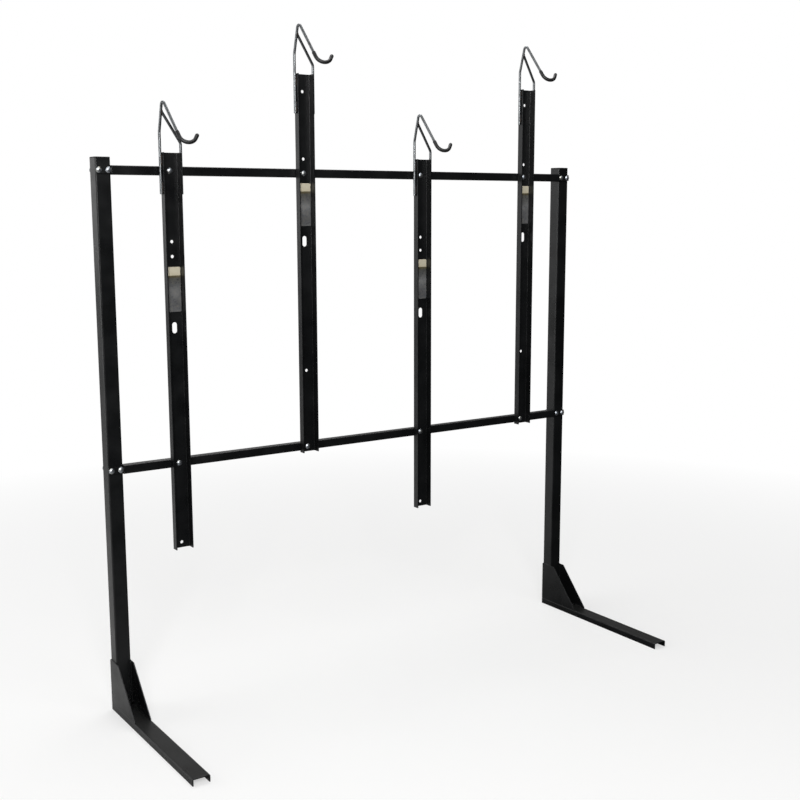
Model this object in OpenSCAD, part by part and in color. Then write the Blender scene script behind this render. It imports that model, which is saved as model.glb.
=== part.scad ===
// Free-standing rack that holds cycles upright by the wheel, on four staggered posts.
// Origin on the floor, at the middle of the footprint; +Z up, -Y towards the user.

/* [Frame] */
// Distance between the axes of the two uprights
frame_w = 1672; // [1500:1:1900]
// Height of the uprights, cap included
upright_h = 1601; // [1400:1:1800]
// Side of the square upright tube
upright_w = 44; // [40:1:50]
// Wall of the upright tube
upright_wall = 2; // [1.5:0.5:3]
// Outside corner radius of the upright tube
upright_r = 4.5; // [3.5:0.5:6]
// Thickness of the cap's plate on an upright
cap_t = 3; // [2:0.5:5]
// Depth of the cap's plug inside the tube
cap_plug = 14; // [8:1:20]

/* [Feet] */
// Reach of a foot in front of the upright's axis
foot_reach = 550; // [450:1:650]
// Height of the inverted channel of a foot
foot_h = 20; // [16:1:28]
// Wall of the foot's channel
foot_wall = 3; // [2:0.5:4]
// Outside corner radius of the foot's channel
foot_r = 3; // [2:0.5:4]
// Thickness of a gusset plate
gusset_t = 3; // [2:0.5:4]
// Height of the gusset's top edge above the floor
gusset_h = 154; // [110:1:200]
// Reach of the gusset's foot in front of the upright's axis
gusset_reach = 156; // [110:1:220]
// Reach of the gusset's top edge in front of the upright's axis
gusset_top = 39; // [30:1:60]

/* [Rails] */
// Side of the square rail tube
rail_w = 25.4; // [22:0.2:30]
// Wall of the rail tube
rail_wall = 2; // [1.5:0.5:2.5]
// Outside corner radius of the rail tube
rail_r = 3; // [2.5:0.5:4]
// Height between the two rails, axis to axis
rail_gap = 838; // [700:1:900]
// Distance of the upper rail's axis below the top of the uprights
rail_drop = 35.4; // [25:0.2:60]
// Thickness of the flat tab welded into a rail's end
tab_t = 5; // [4:0.5:6]
// Length of the tab inside the rail
tab_in = 40; // [25:1:60]
// Distance between the two bolts of a rail's joint
joint_pitch = 27; // [24:0.5:27]

/* [Posts] */
// Distance between the posts, centre to centre
post_pitch = 431; // [380:1:460]
// Width of the channel post
post_w = 54; // [50:1:60]
// Depth of the channel post
post_d = 25.4; // [22:0.2:32]
// Wall of the channel post
post_wall = 3; // [2.5:0.5:3.5]
// Outside corner radius of the channel post
post_r = 4.5; // [4:0.5:6]
// Upper bolt hole below the post's top, used where the post stands low
low_hole = 50; // [40:1:80]
// Upper bolt hole below the post's top, used where the post stands high
high_hole = 289; // [278:1:295]
// Spare hole below the post's top
spare_hole = 247; // [200:1:255]
// Distance of the last hole from the post's lower end
end_hole = 16; // [13:1:40]
// Centre of the long slot below the post's top
slot_at = 492; // [470:1:560]
// Width of the long slot
slot_w = 15; // [10:1:20]
// Length of the long slot, end to end
slot_l = 32; // [26:1:40]

/* [Hooks] */
// Diameter of the hook and brace rods
rod_d = 8; // [7:0.5:9]
// Length of the rod legs on the post, below its top
leg_l = 115; // [80:1:180]
// Depth of the leg's axis behind the post's open front
leg_depth = 12.7; // [10:0.1:14]
// Height above the post's top at which the hook rod starts to lean forward
lean_at = 55; // [40:1:70]
// Angle by which the hook rod leans forward
lean_angle = 16; // [8:1:22]
// Bend radius where the hook rod starts to lean
lean_r = 25; // [12:1:40]
// Height of the arch's crest above the post's top, to the rod's axis
arch_h = 134; // [130:1:160]
// Bend radius of the arch
arch_r = 8; // [7:0.5:11]
// Angle turned over the arch
arch_angle = 130; // [122:1:138]
// Angle that turns the arch in towards the middle of the post
arch_twist_angle = 10; // [5:1:16]
// Straight length of the slope between the arch and the hook
slope_l = 111; // [95:1:125]
// Radius of the hook's bend, to the rod's axis
hook_r = 24; // [20:1:30]
// Angle turned by the hook's bend
hook_angle = 138; // [125:1:145]
// Angle between the arch's plane and the hook's plane
hook_twist_angle = 105; // [95:1:115]
// Straight length at the hook's tip
hook_tip = 12; // [8:1:20]
// Height above the post's top at which the brace starts to lean
brace_at = 27; // [20:1:36]
// Height above the post's top at which the brace meets the hook rod
brace_top = 112; // [100:1:116]
// Bend radius of the brace
brace_r = 16; // [12:1:24]
// Wall of the vinyl sleeve on the hook
sleeve_wall = 1.5; // [1:0.25:2]
// Length of the sleeve on the sloping part of the rod
sleeve_up = 16; // [10:1:40]

/* [Labels] */
// Top edge of the label below the post's top
label_at = 318.5; // [310:0.5:324]
// Bare strip between the label and the bends of the post
label_margin = 0.3; // [0.2:0.1:6]
// Length of the blank label
label_l = 127.5; // [100:0.5:128]
// Thickness of the label
label_t = 0.4; // [0.3:0.1:0.8]
// Corner radius of the label
label_r = 3; // [2:0.5:6]

/* [Fasteners] */
// Diameter of the bolts
bolt_d = 8; // [6:0.5:8.5]
// Diameter of the domed bolt heads
head_d = 16.5; // [14:0.5:18]
// Height of the domed bolt heads
head_h = 4.4; // [3:0.2:6]
// Nut size across flats
nut_af = 13; // [11:0.5:14]
// Nut height
nut_h = 6.5; // [5:0.5:8]
// Washer diameter
washer_d = 17; // [15:0.5:19]
// Washer thickness
washer_t = 1.6; // [1:0.2:2.4]
// Length of bolt standing out of the nut
bolt_out = 3; // [1:0.5:6]

/* [Hidden] */
$fn = 96;
seat = 0.1;
slip = 0.75;
weld_gap = 0.15;
bore = 0.06;
over = 1;
lap = 0.3;
swell = 0.02;
corner_in = 1;
hole_d = bolt_d + 2 * slip;
foot_w = upright_w + 2 * gusset_t;
half_w = frame_w / 2;
half_u = upright_w / 2;
rod_r = rod_d / 2;
tube_foot = foot_h;
tube_top = upright_h - cap_t;
upper_z = upright_h - rail_drop;
lower_z = upper_z - rail_gap;
tab_front = -half_u - tab_t;
rail_front = tab_front - rail_wall;
rail_back = rail_front + rail_w;
rail_mid = rail_front + rail_w / 2;
rail_l = frame_w - upright_w - 2 * seat;
tab_h = rail_w - 2 * rail_wall - 2 * corner_in;
tab_far = half_u - corner_in;
web_front = rail_front - post_wall;
post_mouth = rail_front - post_d;
post_l = high_hole + rail_gap + end_hole;
post_holes = [low_hole, spare_hole, high_hole, low_hole + rail_gap, high_hole + rail_gap];
rear = half_u + washer_t + nut_h + bolt_out;
frame_y = (foot_reach - rear) / 2;
leg_x = post_w / 2 + rod_r + seat;
leg_y = post_mouth + leg_depth;
label_w = post_w - 2 * (post_r + label_margin);

function post_x(i) = (i - 2.5) * post_pitch;
function post_top(i) = upper_z + (i % 2 == 1 ? low_hole : high_hole);

// Steps of a bent rod: straight length, bend radius, angle turned, and roll of the bend's plane
crest = atan2(cos(lean_angle), cos(arch_twist_angle) * sin(lean_angle));
crest_side = (1 - cos(crest)) * cos(arch_twist_angle) * sin(lean_angle);
crest_up = arch_r * (sin(crest) * cos(lean_angle) - crest_side);
lean_used = lean_r * tan(lean_angle / 2);
lean_run = (arch_h - crest_up - lean_at) / cos(lean_angle) - lean_used;
lean_step = [leg_l + lean_at - lean_used, lean_r, lean_angle, -90];
arch_step = [lean_run, arch_r, arch_angle, arch_twist_angle];
tip_step = [hook_tip, 0, 0, 0];
hook_steps = [lean_step, arch_step, [slope_l, hook_r, hook_angle, hook_twist_angle], tip_step];

// The brace leans from the right leg to the hook rod's leaning part
meet_y = -(brace_top - lean_at) * tan(lean_angle);
meet_z = brace_top - brace_at;
meet_out = norm([2 * leg_x, meet_y]);
brace_lean = atan2(meet_out, meet_z);
brace_run = brace_r * tan(brace_lean / 2);
brace_roll = atan2(meet_y, -2 * leg_x);
brace_steps = [[leg_l + brace_at - brace_run, brace_r, brace_lean, brace_roll],
    [norm([meet_out, meet_z]) - brace_run, 0, 0, 0]];

// Shared shapes

module placed() {
    translate([0, frame_y, 0])
        children();
}

module at_post(i) {
    placed()
        translate([post_x(i), 0, post_top(i)])
            children();
}

module block(low, high) {
    translate(low)
        cube(high - low);
}

module rounded_block(low, high, r) {
    block([low[0] + r, low[1], low[2]], [high[0] - r, high[1], high[2]]);
    block([low[0], low[1] + r, low[2]], [high[0], high[1] - r, high[2]]);
    for (x = [low[0] + r, high[0] - r], y = [low[1] + r, high[1] - r])
        translate([x, y, low[2]])
            cylinder(r = r, h = high[2] - low[2]);
}

module tube(w, wall, r, l) {
    difference() {
        rounded_block([-w / 2, -w / 2, 0], [w / 2, w / 2, l], r);
        rounded_block([wall - w / 2, wall - w / 2, -over], [w / 2 - wall, w / 2 - wall, l + over],
            max(corner_in, r - wall));
    }
}

// Round bar from the front (low y) to the back
module bar_y(d, x, z, y0, y1) {
    translate([x, y0, z])
        rotate([-90, 0, 0])
            cylinder(d = d, h = y1 - y0);
}

// Places children at the end of a step that starts at the origin and heads up
module after(step) {
    big = step[1];
    translate([0, 0, step[0]])
        rotate([0, 0, step[3]])
            translate([big, 0, 0])
                rotate([0, step[2], 0])
                    translate([-big, 0, 0])
                        children();
}

// Rod bent step by step from the origin, heading up; its bends swell a hair, as bent bar does
module bent_rod(steps, r, i = 0) {
    step = steps[i];
    start = i > 0 ? -lap : 0;
    translate([0, 0, start])
        cylinder(r = r, h = step[0] + (step[2] > 0 ? lap : 0) - start);
    if (step[2] > 0)
        translate([0, 0, step[0]])
            rotate([0, 0, step[3]])
                multmatrix([[-1, 0, 0, step[1]], [0, 0, 1, 0], [0, 1, 0, 0]])
                    rotate_extrude(angle = step[2])
                        translate([step[1], 0])
                            circle(r = r + swell);
    if (i < len(steps) - 1)
        after(step)
            bent_rod(steps, r, i + 1);
}

// Carriage bolt: domed head in front of y0, shank on to y1
module dome_bolt(x, z, y0, y1) {
    big = (head_d * head_d / 4 + head_h * head_h) / (2 * head_h);
    bar_y(bolt_d, x, z, y0 - seat, y1);
    intersection() {
        translate([x, y0 - head_h + big, z])
            rotate([90, 0, 0])
                sphere(r = big, $fn = 128);
        bar_y(head_d + over, x, z, y0 - head_h - over, y0);
    }
}

module ring(x, z, y0, y1) {
    difference() {
        bar_y(washer_d, x, z, y0, y1);
        bar_y(bolt_d + 2 * bore, x, z, y0 - over, y1 + over);
    }
}

module hex_nut(x, z, y0, y1) {
    difference() {
        intersection_for (a = [0, 60, 120])
            translate([x, (y0 + y1) / 2, z])
                rotate([0, a, 0])
                    cube([nut_af, y1 - y0, 2 * nut_af], center = true);
        bar_y(bolt_d + 2 * bore, x, z, y0 - over, y1 + over);
    }
}

// Frame

module upright(side) {
    color("#1b1c1e")
        placed()
            difference() {
                translate([side * half_w, 0, tube_foot])
                    tube(upright_w, upright_wall, upright_r, tube_top - tube_foot);
                for (z = [upper_z, lower_z], s = [-1, 1])
                    bar_y(hole_d, side * half_w + s * joint_pitch / 2, z, -half_u - over, half_u + over);
            }
}

module cap(side) {
    plug = half_u - upright_wall - 2 * seat;
    color("#141415")
        placed()
            translate([side * half_w, 0, 0]) {
                rounded_block([-half_u, -half_u, tube_top], [half_u, half_u, upright_h], upright_r);
                rounded_block([-plug, -plug, tube_top - cap_plug], [plug, plug, tube_top + corner_in],
                    upright_r - upright_wall);
            }
}

module foot(side) {
    w = foot_w / 2;
    color("#1b1c1e")
        placed()
            translate([side * half_w, 0, 0])
                difference() {
                    union() {
                        block([-w, -foot_reach, 0], [w, half_u, foot_h - foot_r]);
                        block([foot_r - w, -foot_reach, 0], [w - foot_r, half_u, foot_h]);
                        for (s = [-1, 1])
                            bar_y(2 * foot_r, s * (w - foot_r), foot_h - foot_r, -foot_reach, half_u);
                    }
                    block([foot_wall - w, -foot_reach - over, -over],
                        [w - foot_wall, half_u + over, foot_h - foot_wall]);
                }
}

// Plate on one side of an upright; face says on which
module gusset(side, face) {
    color("#1b1c1e")
        placed()
            translate([side * half_w + face * (half_u + gusset_t / 2) - gusset_t / 2, 0, 0])
                rotate([90, 0, 90])
                    linear_extrude(gusset_t)
                        polygon([[half_u, foot_h], [half_u, gusset_h], [-gusset_top, gusset_h],
                            [-gusset_reach, foot_h + foot_r], [-gusset_reach, foot_h]]);
}

module rail(z) {
    color("#1b1c1e")
        placed()
            difference() {
                translate([-rail_l / 2, rail_mid, z])
                    rotate([0, 90, 0])
                        tube(rail_w, rail_wall, rail_r, rail_l);
                for (i = [1:4])
                    bar_y(hole_d, post_x(i), z, rail_front - over, rail_back + over);
            }
}

module tab(side, z) {
    inner = half_w - half_u - seat - tab_in;
    outer = half_w + tab_far;
    ends = side * [inner, outer];
    color("#1b1c1e")
        placed()
            difference() {
                block([min(ends), tab_front, z - tab_h / 2], [max(ends), -half_u, z + tab_h / 2]);
                for (s = [-1, 1])
                    bar_y(hole_d, side * half_w + s * joint_pitch / 2, z, tab_front - over, over - half_u);
            }
}

// Posts

module post(i) {
    w = post_w / 2;
    inner = post_r - post_wall;
    color("#1b1c1e")
        at_post(i)
            difference() {
                union() {
                    block([-w, post_mouth, -post_l], [w, rail_front - post_r, 0]);
                    rounded_block([-w, rail_front - 3 * post_r, -post_l], [w, rail_front, 0], post_r);
                }
                block([post_wall - w, post_mouth - over, -post_l - over],
                    [w - post_wall, web_front - inner, over]);
                rounded_block([post_wall - w, web_front - 3 * post_r, -post_l - over],
                    [w - post_wall, web_front, over], inner);
                for (h = post_holes)
                    bar_y(hole_d, 0, -h, web_front - over, rail_front + over);
                for (s = [-1, 1])
                    bar_y(slot_w, 0, s * (slot_l - slot_w) / 2 - slot_at, web_front - over, rail_front + over);
                block([-slot_w / 2, web_front - over, -slot_at - (slot_l - slot_w) / 2],
                    [slot_w / 2, rail_front + over, -slot_at + (slot_l - slot_w) / 2]);
            }
}

module label(i) {
    w = label_w / 2;
    color("#bfbcae")
        at_post(i)
            translate([0, web_front, -label_at - label_l / 2])
                rotate([90, 0, 0])
                    rounded_block([-w, -label_l / 2, 0], [w, label_l / 2, label_t], label_r);
}

// Hooks

// Start of the left or right leg, on the outside of the post
module at_leg(i, side) {
    at_post(i)
        translate([side * leg_x, leg_y, -leg_l])
            children();
}

module hook_rod(i) {
    color("#7c7f82")
        at_leg(i, -1)
            bent_rod(hook_steps, rod_r);
}

module brace_rod(i) {
    color("#7c7f82")
        at_leg(i, 1)
            difference() {
                bent_rod(brace_steps, rod_r);
                translate([-2 * leg_x, 0, 0])
                    after(lean_step)
                        cylinder(r = rod_r + weld_gap, h = lean_run);
            }
}

module hook_sleeve(i) {
    r = rod_r + bore + sleeve_wall;
    cover = [sleeve_up, hook_r, hook_angle, hook_twist_angle];
    color("#101011")
        at_leg(i, -1)
            after(lean_step)
                after(arch_step)
                    translate([0, 0, slope_l - sleeve_up])
                        difference() {
                            union() {
                                bent_rod([cover, tip_step], r);
                                after(cover)
                                    translate([0, 0, hook_tip])
                                        sphere(r = r + swell);
                            }
                            translate([0, 0, -over])
                                bent_rod([cover + [over, 0, 0, 0], tip_step + [bore, 0, 0, 0]],
                                    rod_r + bore);
                        }
}

// Fasteners

module rail_joints() {
    color("#c3c6c8")
        placed()
            for (side = [-1, 1], z = [upper_z, lower_z], s = [-1, 1])
                translate([side * half_w + s * joint_pitch / 2, 0, z])
                    children();
}

module post_joints() {
    color("#c3c6c8")
        placed()
            for (i = [1:4], z = [upper_z, lower_z])
                translate([post_x(i), 0, z])
                    children();
}

module rail_bolts() {
    rail_joints()
        dome_bolt(0, 0, tab_front, rear);
}

module rail_washers() {
    rail_joints()
        ring(0, 0, half_u, half_u + washer_t);
}

module rail_nuts() {
    rail_joints()
        hex_nut(0, 0, half_u + washer_t, half_u + washer_t + nut_h);
}

module post_bolts() {
    post_joints()
        dome_bolt(0, 0, web_front, rail_back + washer_t + nut_h + bolt_out);
}

module post_washers() {
    post_joints()
        ring(0, 0, rail_back, rail_back + washer_t);
}

module post_nuts() {
    post_joints()
        hex_nut(0, 0, rail_back + washer_t, rail_back + washer_t + nut_h);
}

module left_upright() { upright(-1); }
module right_upright() { upright(1); }
module left_cap() { cap(-1); }
module right_cap() { cap(1); }
module left_foot() { foot(-1); }
module right_foot() { foot(1); }
module left_outer_gusset() { gusset(-1, -1); }
module left_inner_gusset() { gusset(-1, 1); }
module right_inner_gusset() { gusset(1, -1); }
module right_outer_gusset() { gusset(1, 1); }
module upper_rail() { rail(upper_z); }
module lower_rail() { rail(lower_z); }
module upper_left_tab() { tab(-1, upper_z); }
module upper_right_tab() { tab(1, upper_z); }
module lower_left_tab() { tab(-1, lower_z); }
module lower_right_tab() { tab(1, lower_z); }
module post_1() { post(1); }
module post_2() { post(2); }
module post_3() { post(3); }
module post_4() { post(4); }
module hook_rod_1() { hook_rod(1); }
module hook_rod_2() { hook_rod(2); }
module hook_rod_3() { hook_rod(3); }
module hook_rod_4() { hook_rod(4); }
module brace_rod_1() { brace_rod(1); }
module brace_rod_2() { brace_rod(2); }
module brace_rod_3() { brace_rod(3); }
module brace_rod_4() { brace_rod(4); }
module hook_sleeve_1() { hook_sleeve(1); }
module hook_sleeve_2() { hook_sleeve(2); }
module hook_sleeve_3() { hook_sleeve(3); }
module hook_sleeve_4() { hook_sleeve(4); }
module label_1() { label(1); }
module label_2() { label(2); }
module label_3() { label(3); }
module label_4() { label(4); }

left_upright();
right_upright();
left_cap();
right_cap();
left_foot();
right_foot();
left_outer_gusset();
left_inner_gusset();
right_inner_gusset();
right_outer_gusset();
upper_rail();
lower_rail();
upper_left_tab();
upper_right_tab();
lower_left_tab();
lower_right_tab();
rail_bolts();
rail_washers();
rail_nuts();
post_1();
post_2();
post_3();
post_4();
post_bolts();
post_washers();
post_nuts();
hook_rod_1();
hook_rod_2();
hook_rod_3();
hook_rod_4();
brace_rod_1();
brace_rod_2();
brace_rod_3();
brace_rod_4();
hook_sleeve_1();
hook_sleeve_2();
hook_sleeve_3();
hook_sleeve_4();
label_1();
label_2();
label_3();
label_4();
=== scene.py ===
import math
import random

import bmesh
import bpy
from mathutils import Matrix, Vector


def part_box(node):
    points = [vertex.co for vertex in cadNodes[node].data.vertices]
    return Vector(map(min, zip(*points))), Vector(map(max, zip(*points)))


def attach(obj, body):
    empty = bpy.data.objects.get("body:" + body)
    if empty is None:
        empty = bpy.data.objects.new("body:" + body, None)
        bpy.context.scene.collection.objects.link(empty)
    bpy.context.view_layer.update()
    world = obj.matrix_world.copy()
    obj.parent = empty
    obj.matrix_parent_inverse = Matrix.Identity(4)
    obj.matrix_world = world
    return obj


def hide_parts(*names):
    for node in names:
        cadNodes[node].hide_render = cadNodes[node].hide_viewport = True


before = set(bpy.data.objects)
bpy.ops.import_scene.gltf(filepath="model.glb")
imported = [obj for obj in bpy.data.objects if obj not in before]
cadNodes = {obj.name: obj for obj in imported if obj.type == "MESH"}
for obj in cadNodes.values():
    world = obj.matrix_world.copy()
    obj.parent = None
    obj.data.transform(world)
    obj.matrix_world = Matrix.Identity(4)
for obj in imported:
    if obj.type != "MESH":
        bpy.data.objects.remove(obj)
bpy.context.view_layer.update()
scene = bpy.context.scene
scene.view_settings.view_transform = "Standard"
mm = 0.001
mergeGap = 0.002 * mm  # vertices that lie closer than this are one
postNumbers = ("1", "2", "3", "4")  # numbered from the left, as in the frame's node names
print("frame loaded with", len(cadNodes), "nodes")


def boxOf(node):
    # a node's lowest and highest corners in mm, to the hundredth that the frame is drawn to
    return [[round(value / mm, 2) for value in corner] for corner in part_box(node)]


def middleOf(node):
    return [(low + high) / 2 for low, high in zip(*boxOf(node))]


# camera at the photo's angle: place in m, turns in degrees, lens and sensor in mm
cameraSpec = {
    "place": (-1.9803, -2.8924, 1.4558),
    "tilt": 80.732,
    "roll": 0.118,
    "turn": -34.144,
    "lens": 52.397,
    "sensor": 36.0,
    "nearest": 0.05,
    "farthest": 200.0,
}


def makeCamera(spec):
    data = bpy.data.cameras.new("photoCamera")
    data.lens = spec["lens"]
    data.sensor_width = spec["sensor"]
    data.clip_start = spec["nearest"]
    data.clip_end = spec["farthest"]
    cam = bpy.data.objects.new("photoCamera", data)
    cam.location = spec["place"]
    cam.rotation_euler = [math.radians(spec[key]) for key in ("tilt", "roll", "turn")]
    scene.collection.objects.link(cam)
    scene.camera = cam


makeCamera(cameraSpec)
print("camera placed")


def fromHex(code):
    parts = [int(code[i:i + 2], 16) / 255 for i in (1, 3, 5)]
    linear = [c / 12.92 if c <= 0.04045 else ((c + 0.055) / 1.055) ** 2.4 for c in parts]
    return (*linear, 1.0)


def addNode(tree, kind, settings=None, links=None, stops=None):
    # keys with a capital, and numbers, are sockets, and text on a socket is a hex colour;
    # a node that is given as a source stands for its first output in use
    node = tree.nodes.new("ShaderNode" + kind)
    for key, value in (settings or {}).items():
        if isinstance(key, str) and key[0].islower():
            setattr(node, key, value)
        else:
            node.inputs[key].default_value = fromHex(value) if isinstance(value, str) else value
    for key, source in (links or {}).items():
        if isinstance(source, bpy.types.Node):
            source = next(output for output in source.outputs if output.enabled)
        tree.links.new(source, node.inputs[key])
    if stops:
        ramp = node.color_ramp
        while len(ramp.elements) < len(stops):
            ramp.elements.new(0.5)
        for element, (place, colour) in zip(ramp.elements, stops):
            element.position = place
            element.color = fromHex(colour)
    return node


def startMaterial(name):
    # a fresh material, its nodes and its object coordinates
    material = bpy.data.materials.new(name)
    material.use_nodes = True
    tree = material.node_tree
    tree.nodes.clear()
    return material, tree, addNode(tree, "TexCoord").outputs["Object"]


noiseSpan = {"From Min": 0.3, "From Max": 0.7}  # where nearly all of a noise's values lie

# polyester powder, sprayed and baked: semi-gloss black with orange peel, thin on sharp edges, dust on top
coatLook = {
    "colour": "#0e0f10",
    "paler": "#141516",
    "edge": "#2c2e30",
    "dust": "#66635c",
    "dustShare": 0.05,
    "smooth": 0.24,
    "rough": 0.4,
    "peelMm": 2.4,  # real peel is about 1 mm, drawn coarser so that it shows
    "peelDeepMm": 0.35,
    "cloudMm": 70,
    "cloudDeepMm": 1.0,
    "rubMm": 9,
}


def makePowderCoat(name, look):
    material, tree, coords = startMaterial(name)
    cloud = addNode(tree, "TexNoise", {"Scale": 1000 / look["cloudMm"], "Detail": 3}, {"Vector": coords})
    peel = addNode(tree, "TexNoise", {"Scale": 1000 / look["peelMm"]}, {"Vector": coords})
    rub = addNode(tree, "TexNoise", {"Scale": 1000 / look["rubMm"], "Detail": 4, "Roughness": 0.65},
                  {"Vector": coords})
    tone = addNode(tree, "MapRange", noiseSpan, {"Value": cloud})
    base = addNode(tree, "Mix", {"data_type": "RGBA", "A": look["colour"], "B": look["paler"]},
                   {"Factor": tone})
    # eased edges, where the coat is thin and rubbed
    edge = addNode(tree, "Attribute", {"attribute_name": "edgeWear"}).outputs["Fac"]
    rubbed = addNode(tree, "MapRange",
                     {"From Min": 0.42, "From Max": 0.62, "To Min": 0.1, "To Max": 0.95}, {"Value": rub})
    worn = addNode(tree, "Math", {"operation": "MULTIPLY"}, {0: edge, 1: rubbed})
    base = addNode(tree, "Mix", {"data_type": "RGBA", "B": look["edge"]}, {"Factor": worn, "A": base})
    # dust on what faces up, patchy where it was rubbed off
    normal = addNode(tree, "NewGeometry").outputs["Normal"]
    up = addNode(tree, "SeparateXYZ", links={"Vector": normal}).outputs["Z"]
    settled = addNode(tree, "MapRange",
                      {"From Min": 0.55, "From Max": 0.95, "To Max": look["dustShare"]}, {"Value": up})
    patchy = addNode(tree, "MapRange", {**noiseSpan, "To Min": 0.4}, {"Value": rub})
    dust = addNode(tree, "Math", {"operation": "MULTIPLY"}, {0: settled, 1: patchy})
    base = addNode(tree, "Mix", {"data_type": "RGBA", "B": look["dust"]}, {"Factor": dust, "A": base})
    gloss = addNode(tree, "MapRange", {**noiseSpan, "To Min": look["smooth"], "To Max": look["rough"]},
                    {"Value": cloud})
    gloss = addNode(tree, "Math", {"operation": "ADD"}, {0: gloss, 1: dust})
    wavy = addNode(tree, "Bump", {"Strength": 0.15, "Distance": look["cloudDeepMm"] * mm},
                   {"Height": cloud})
    bump = addNode(tree, "Bump", {"Strength": 0.5, "Distance": look["peelDeepMm"] * mm},
                   {"Height": peel, "Normal": wavy})
    shader = addNode(tree, "BsdfPrincipled", {"IOR": 1.5},
                     {"Base Color": base, "Roughness": gloss, "Normal": bump})
    addNode(tree, "OutputMaterial", links={"Surface": shader})
    return material


# drawn steel bar, hot-dip galvanised: mid grey metal with a soft spangle and darker runs along the bar
rodLook = {
    "light": "#8f9294",
    "dark": "#777a7c",
    "stain": "#585959",
    "smooth": 0.34,
    "rough": 0.52,
    "spangleMm": 5,
    "spangleDeepMm": 0.2,
    "featherMm": 4,
    "runMm": 22,
    "grainMm": 1.6,
    "grainDeepMm": 0.1,
}


def makeGalvanisedRod(name, look):
    material, tree, coords = startMaterial(name)
    # the crystals' outlines are feathered by a finer noise
    feather = addNode(tree, "TexNoise", {"Scale": 1000 / look["featherMm"], "Detail": 3},
                      {"Vector": coords})
    shift = addNode(tree, "VectorMath", {"operation": "SCALE", "Scale": look["spangleMm"] * mm},
                    {0: feather.outputs["Color"]})
    warped = addNode(tree, "VectorMath", {"operation": "ADD"}, {0: coords, 1: shift})
    spangle = addNode(tree, "TexVoronoi",
                      {"feature": "SMOOTH_F1", "Scale": 1000 / look["spangleMm"], "Smoothness": 0.35},
                      {"Vector": warped}).outputs
    crystal = addNode(tree, "SeparateXYZ", links={"Vector": spangle["Color"]})
    run = addNode(tree, "TexNoise", {"Scale": 1000 / look["runMm"], "Detail": 4, "Roughness": 0.6},
                  {"Vector": coords})
    grain = addNode(tree, "TexNoise", {"Scale": 1000 / look["grainMm"]}, {"Vector": coords})
    base = addNode(tree, "Mix", {"data_type": "RGBA", "A": look["light"], "B": look["dark"]},
                   {"Factor": crystal})
    stained = addNode(tree, "MapRange", {"From Min": 0.5, "From Max": 0.75, "To Max": 0.7},
                      {"Value": run})
    base = addNode(tree, "Mix", {"data_type": "RGBA", "B": look["stain"]}, {"Factor": stained, "A": base})
    gloss = addNode(tree, "MapRange", {"To Min": look["smooth"], "To Max": look["rough"]},
                    {"Value": crystal})
    raised = addNode(tree, "Bump", {"Strength": 0.08, "Distance": look["spangleDeepMm"] * mm},
                     {"Height": spangle["Distance"]})
    bump = addNode(tree, "Bump", {"Strength": 0.1, "Distance": look["grainDeepMm"] * mm},
                   {"Height": grain, "Normal": raised})
    shader = addNode(tree, "BsdfPrincipled", {"Metallic": 1.0},
                     {"Base Color": base, "Roughness": gloss, "Normal": bump})
    addNode(tree, "OutputMaterial", links={"Surface": shader})
    return material


# as-welded steel: dark oxide with a trace of brown and blue heat tint
weldLook = {
    "steel": "#343230",
    "tint": "#4b3e33",
    "blue": "#343a44",
    "smooth": 0.4,
    "rough": 0.7,
    "spatterMm": 3,
    "spatterDeepMm": 0.3,
    "heatMm": 9,
}


def makeWeldOxide(name, look):
    material, tree, coords = startMaterial(name)
    spatter = addNode(tree, "TexNoise",
                      {"Scale": 1000 / look["spatterMm"], "Detail": 4, "Roughness": 0.6},
                      {"Vector": coords})
    heat = addNode(tree, "TexNoise", {"Scale": 1000 / look["heatMm"]}, {"Vector": coords})
    tone = addNode(tree, "MapRange", noiseSpan, {"Value": spatter})
    base = addNode(tree, "Mix", {"data_type": "RGBA", "A": look["steel"], "B": look["tint"]},
                   {"Factor": tone})
    blued = addNode(tree, "MapRange", {"From Min": 0.5, "From Max": 0.7, "To Max": 0.8}, {"Value": heat})
    base = addNode(tree, "Mix", {"data_type": "RGBA", "B": look["blue"]}, {"Factor": blued, "A": base})
    gloss = addNode(tree, "MapRange", {**noiseSpan, "To Min": look["smooth"], "To Max": look["rough"]},
                    {"Value": spatter})
    bump = addNode(tree, "Bump", {"Strength": 0.35, "Distance": look["spatterDeepMm"] * mm},
                   {"Height": spatter})
    shader = addNode(tree, "BsdfPrincipled", {"Metallic": 0.7},
                     {"Base Color": base, "Roughness": gloss, "Normal": bump})
    addNode(tree, "OutputMaterial", links={"Surface": shader})
    return material


# bright zinc plate, passivated: clean cool metal with faint blue and straw patches
zincLook = {
    "zinc": "#d3d6d9",
    "blue": "#bcc6d2",
    "straw": "#cfc8ae",
    "smooth": 0.34,
    "rough": 0.48,
    "blueMm": 6,
    "strawMm": 13.8,
    "brushMm": 0.9,  # real plate is finer than 0.1 mm, drawn coarser so that it shows
    "brushDeepMm": 0.08,
}


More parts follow.
